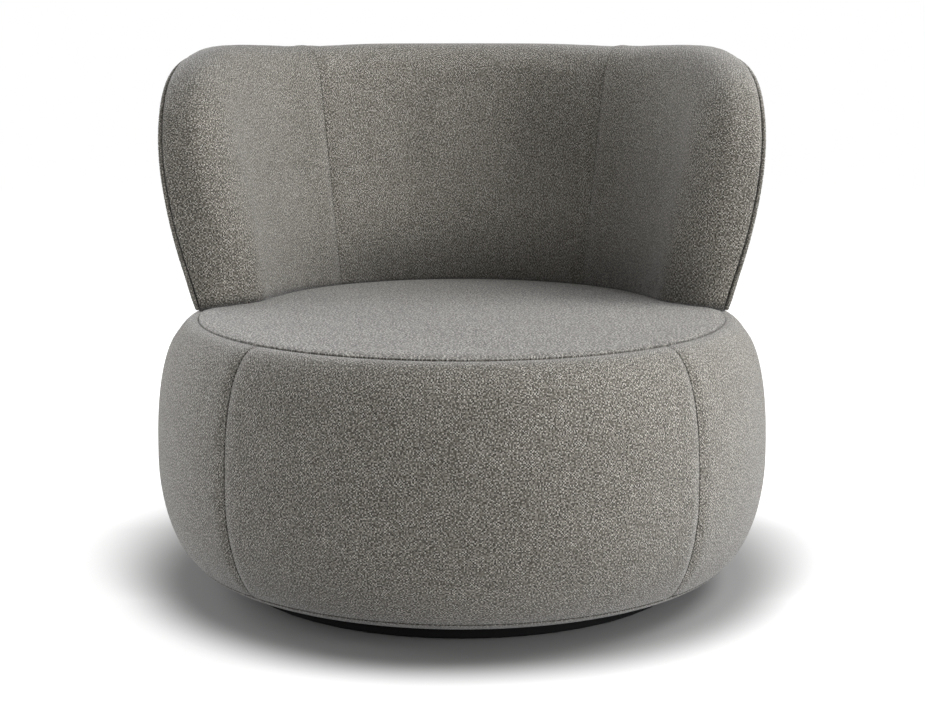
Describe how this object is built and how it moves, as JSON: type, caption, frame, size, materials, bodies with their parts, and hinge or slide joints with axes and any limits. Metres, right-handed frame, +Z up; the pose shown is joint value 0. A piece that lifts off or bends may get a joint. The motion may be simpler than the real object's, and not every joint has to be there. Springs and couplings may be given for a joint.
{
  "type": "swivel lounge chair",
  "caption": "Low round upholstered lounge chair: a bulging drum seat with a flared wraparound back and piped edge, turning on a ball-bearing swivel over a recessed plinth.",
  "frame": {"origin": "on the floor under the swivel's axis, the centre of the plinth's glides", "axes": "+Z up along the swivel's axis, -Y the way the sitter faces, +X towards the sitter's left hand"},
  "size_m": [0.8396, 0.8396, 0.7301],
  "materials": {
    "plinth_black": "satin",
    "glide_felt": "matte",
    "zinc_steel": "satin",
    "plywood": "satin",
    "webbing": "matte",
    "dust_cloth": "matte",
    "foam": "matte",
    "seat_cloth": "matte",
    "back_cloth": "matte",
    "piping": "matte"
  },
  "bodies": {
    "base": {"plinth": "plinth_black", "glide_1": "glide_felt", "glide_2": "glide_felt", "glide_3": "glide_felt", "glide_4": "glide_felt", "glide_5": "glide_felt", "glide_6": "glide_felt", "swivel_lower_plate": "zinc_steel", "plate_screw_1": "zinc_steel", "plate_screw_2": "zinc_steel", "plate_screw_3": "zinc_steel", "plate_screw_4": "zinc_steel"},
    "cage": {"ball_cage": "zinc_steel"},
    "seat": {"back_foam": "foam", "back_shell": "plywood", "back_welt": "piping", "band_cover_front": "seat_cloth", "band_cover_left": "seat_cloth", "band_cover_rear": "seat_cloth", "band_cover_right": "seat_cloth", "band_foam": "foam", "board_screw_1": "zinc_steel", "board_screw_2": "zinc_steel", "board_screw_3": "zinc_steel", "board_screw_4": "zinc_steel", "bottom_board": "plywood", "cross_strap_1": "webbing", "cross_strap_2": "webbing", "cross_strap_3": "webbing", "deck_ring": "plywood", "dust_cover": "dust_cloth", "front_wall": "plywood", "hem_band": "seat_cloth", "inside_cover_centre": "back_cloth", "inside_cover_left": "back_cloth", "inside_cover_right": "back_cloth", "long_strap_1": "webbing", "long_strap_2": "webbing", "long_strap_3": "webbing", "outside_cover_centre": "back_cloth", "outside_cover_left": "back_cloth", "outside_cover_right": "back_cloth", "seat_foam": "foam", "seat_strut_1": "plywood", "seat_strut_2": "plywood", "seat_strut_3": "plywood", "seat_strut_4": "plywood", "seat_strut_5": "plywood", "seat_strut_6": "plywood", "seat_top_cover": "seat_cloth", "shell_bracket_1": "zinc_steel", "shell_bracket_2": "zinc_steel", "shell_bracket_3": "zinc_steel", "swivel_upper_plate": "zinc_steel"}
  },
  "joints": [
    {"name": "seat_swivel", "type": "hinge", "parent": "base", "child": "seat", "pos_m": [0, 0, 0.0301], "axis": [0, 0, 1], "continuous": true},
    {"name": "cage_spin", "type": "hinge", "parent": "base", "child": "cage", "pos_m": [0, 0, 0.0301], "axis": [0, 0, 1], "continuous": true}
  ],
  "couplings": [
    {"joint": "cage_spin", "follows": "seat_swivel", "ratio": 0.5}
  ]
}
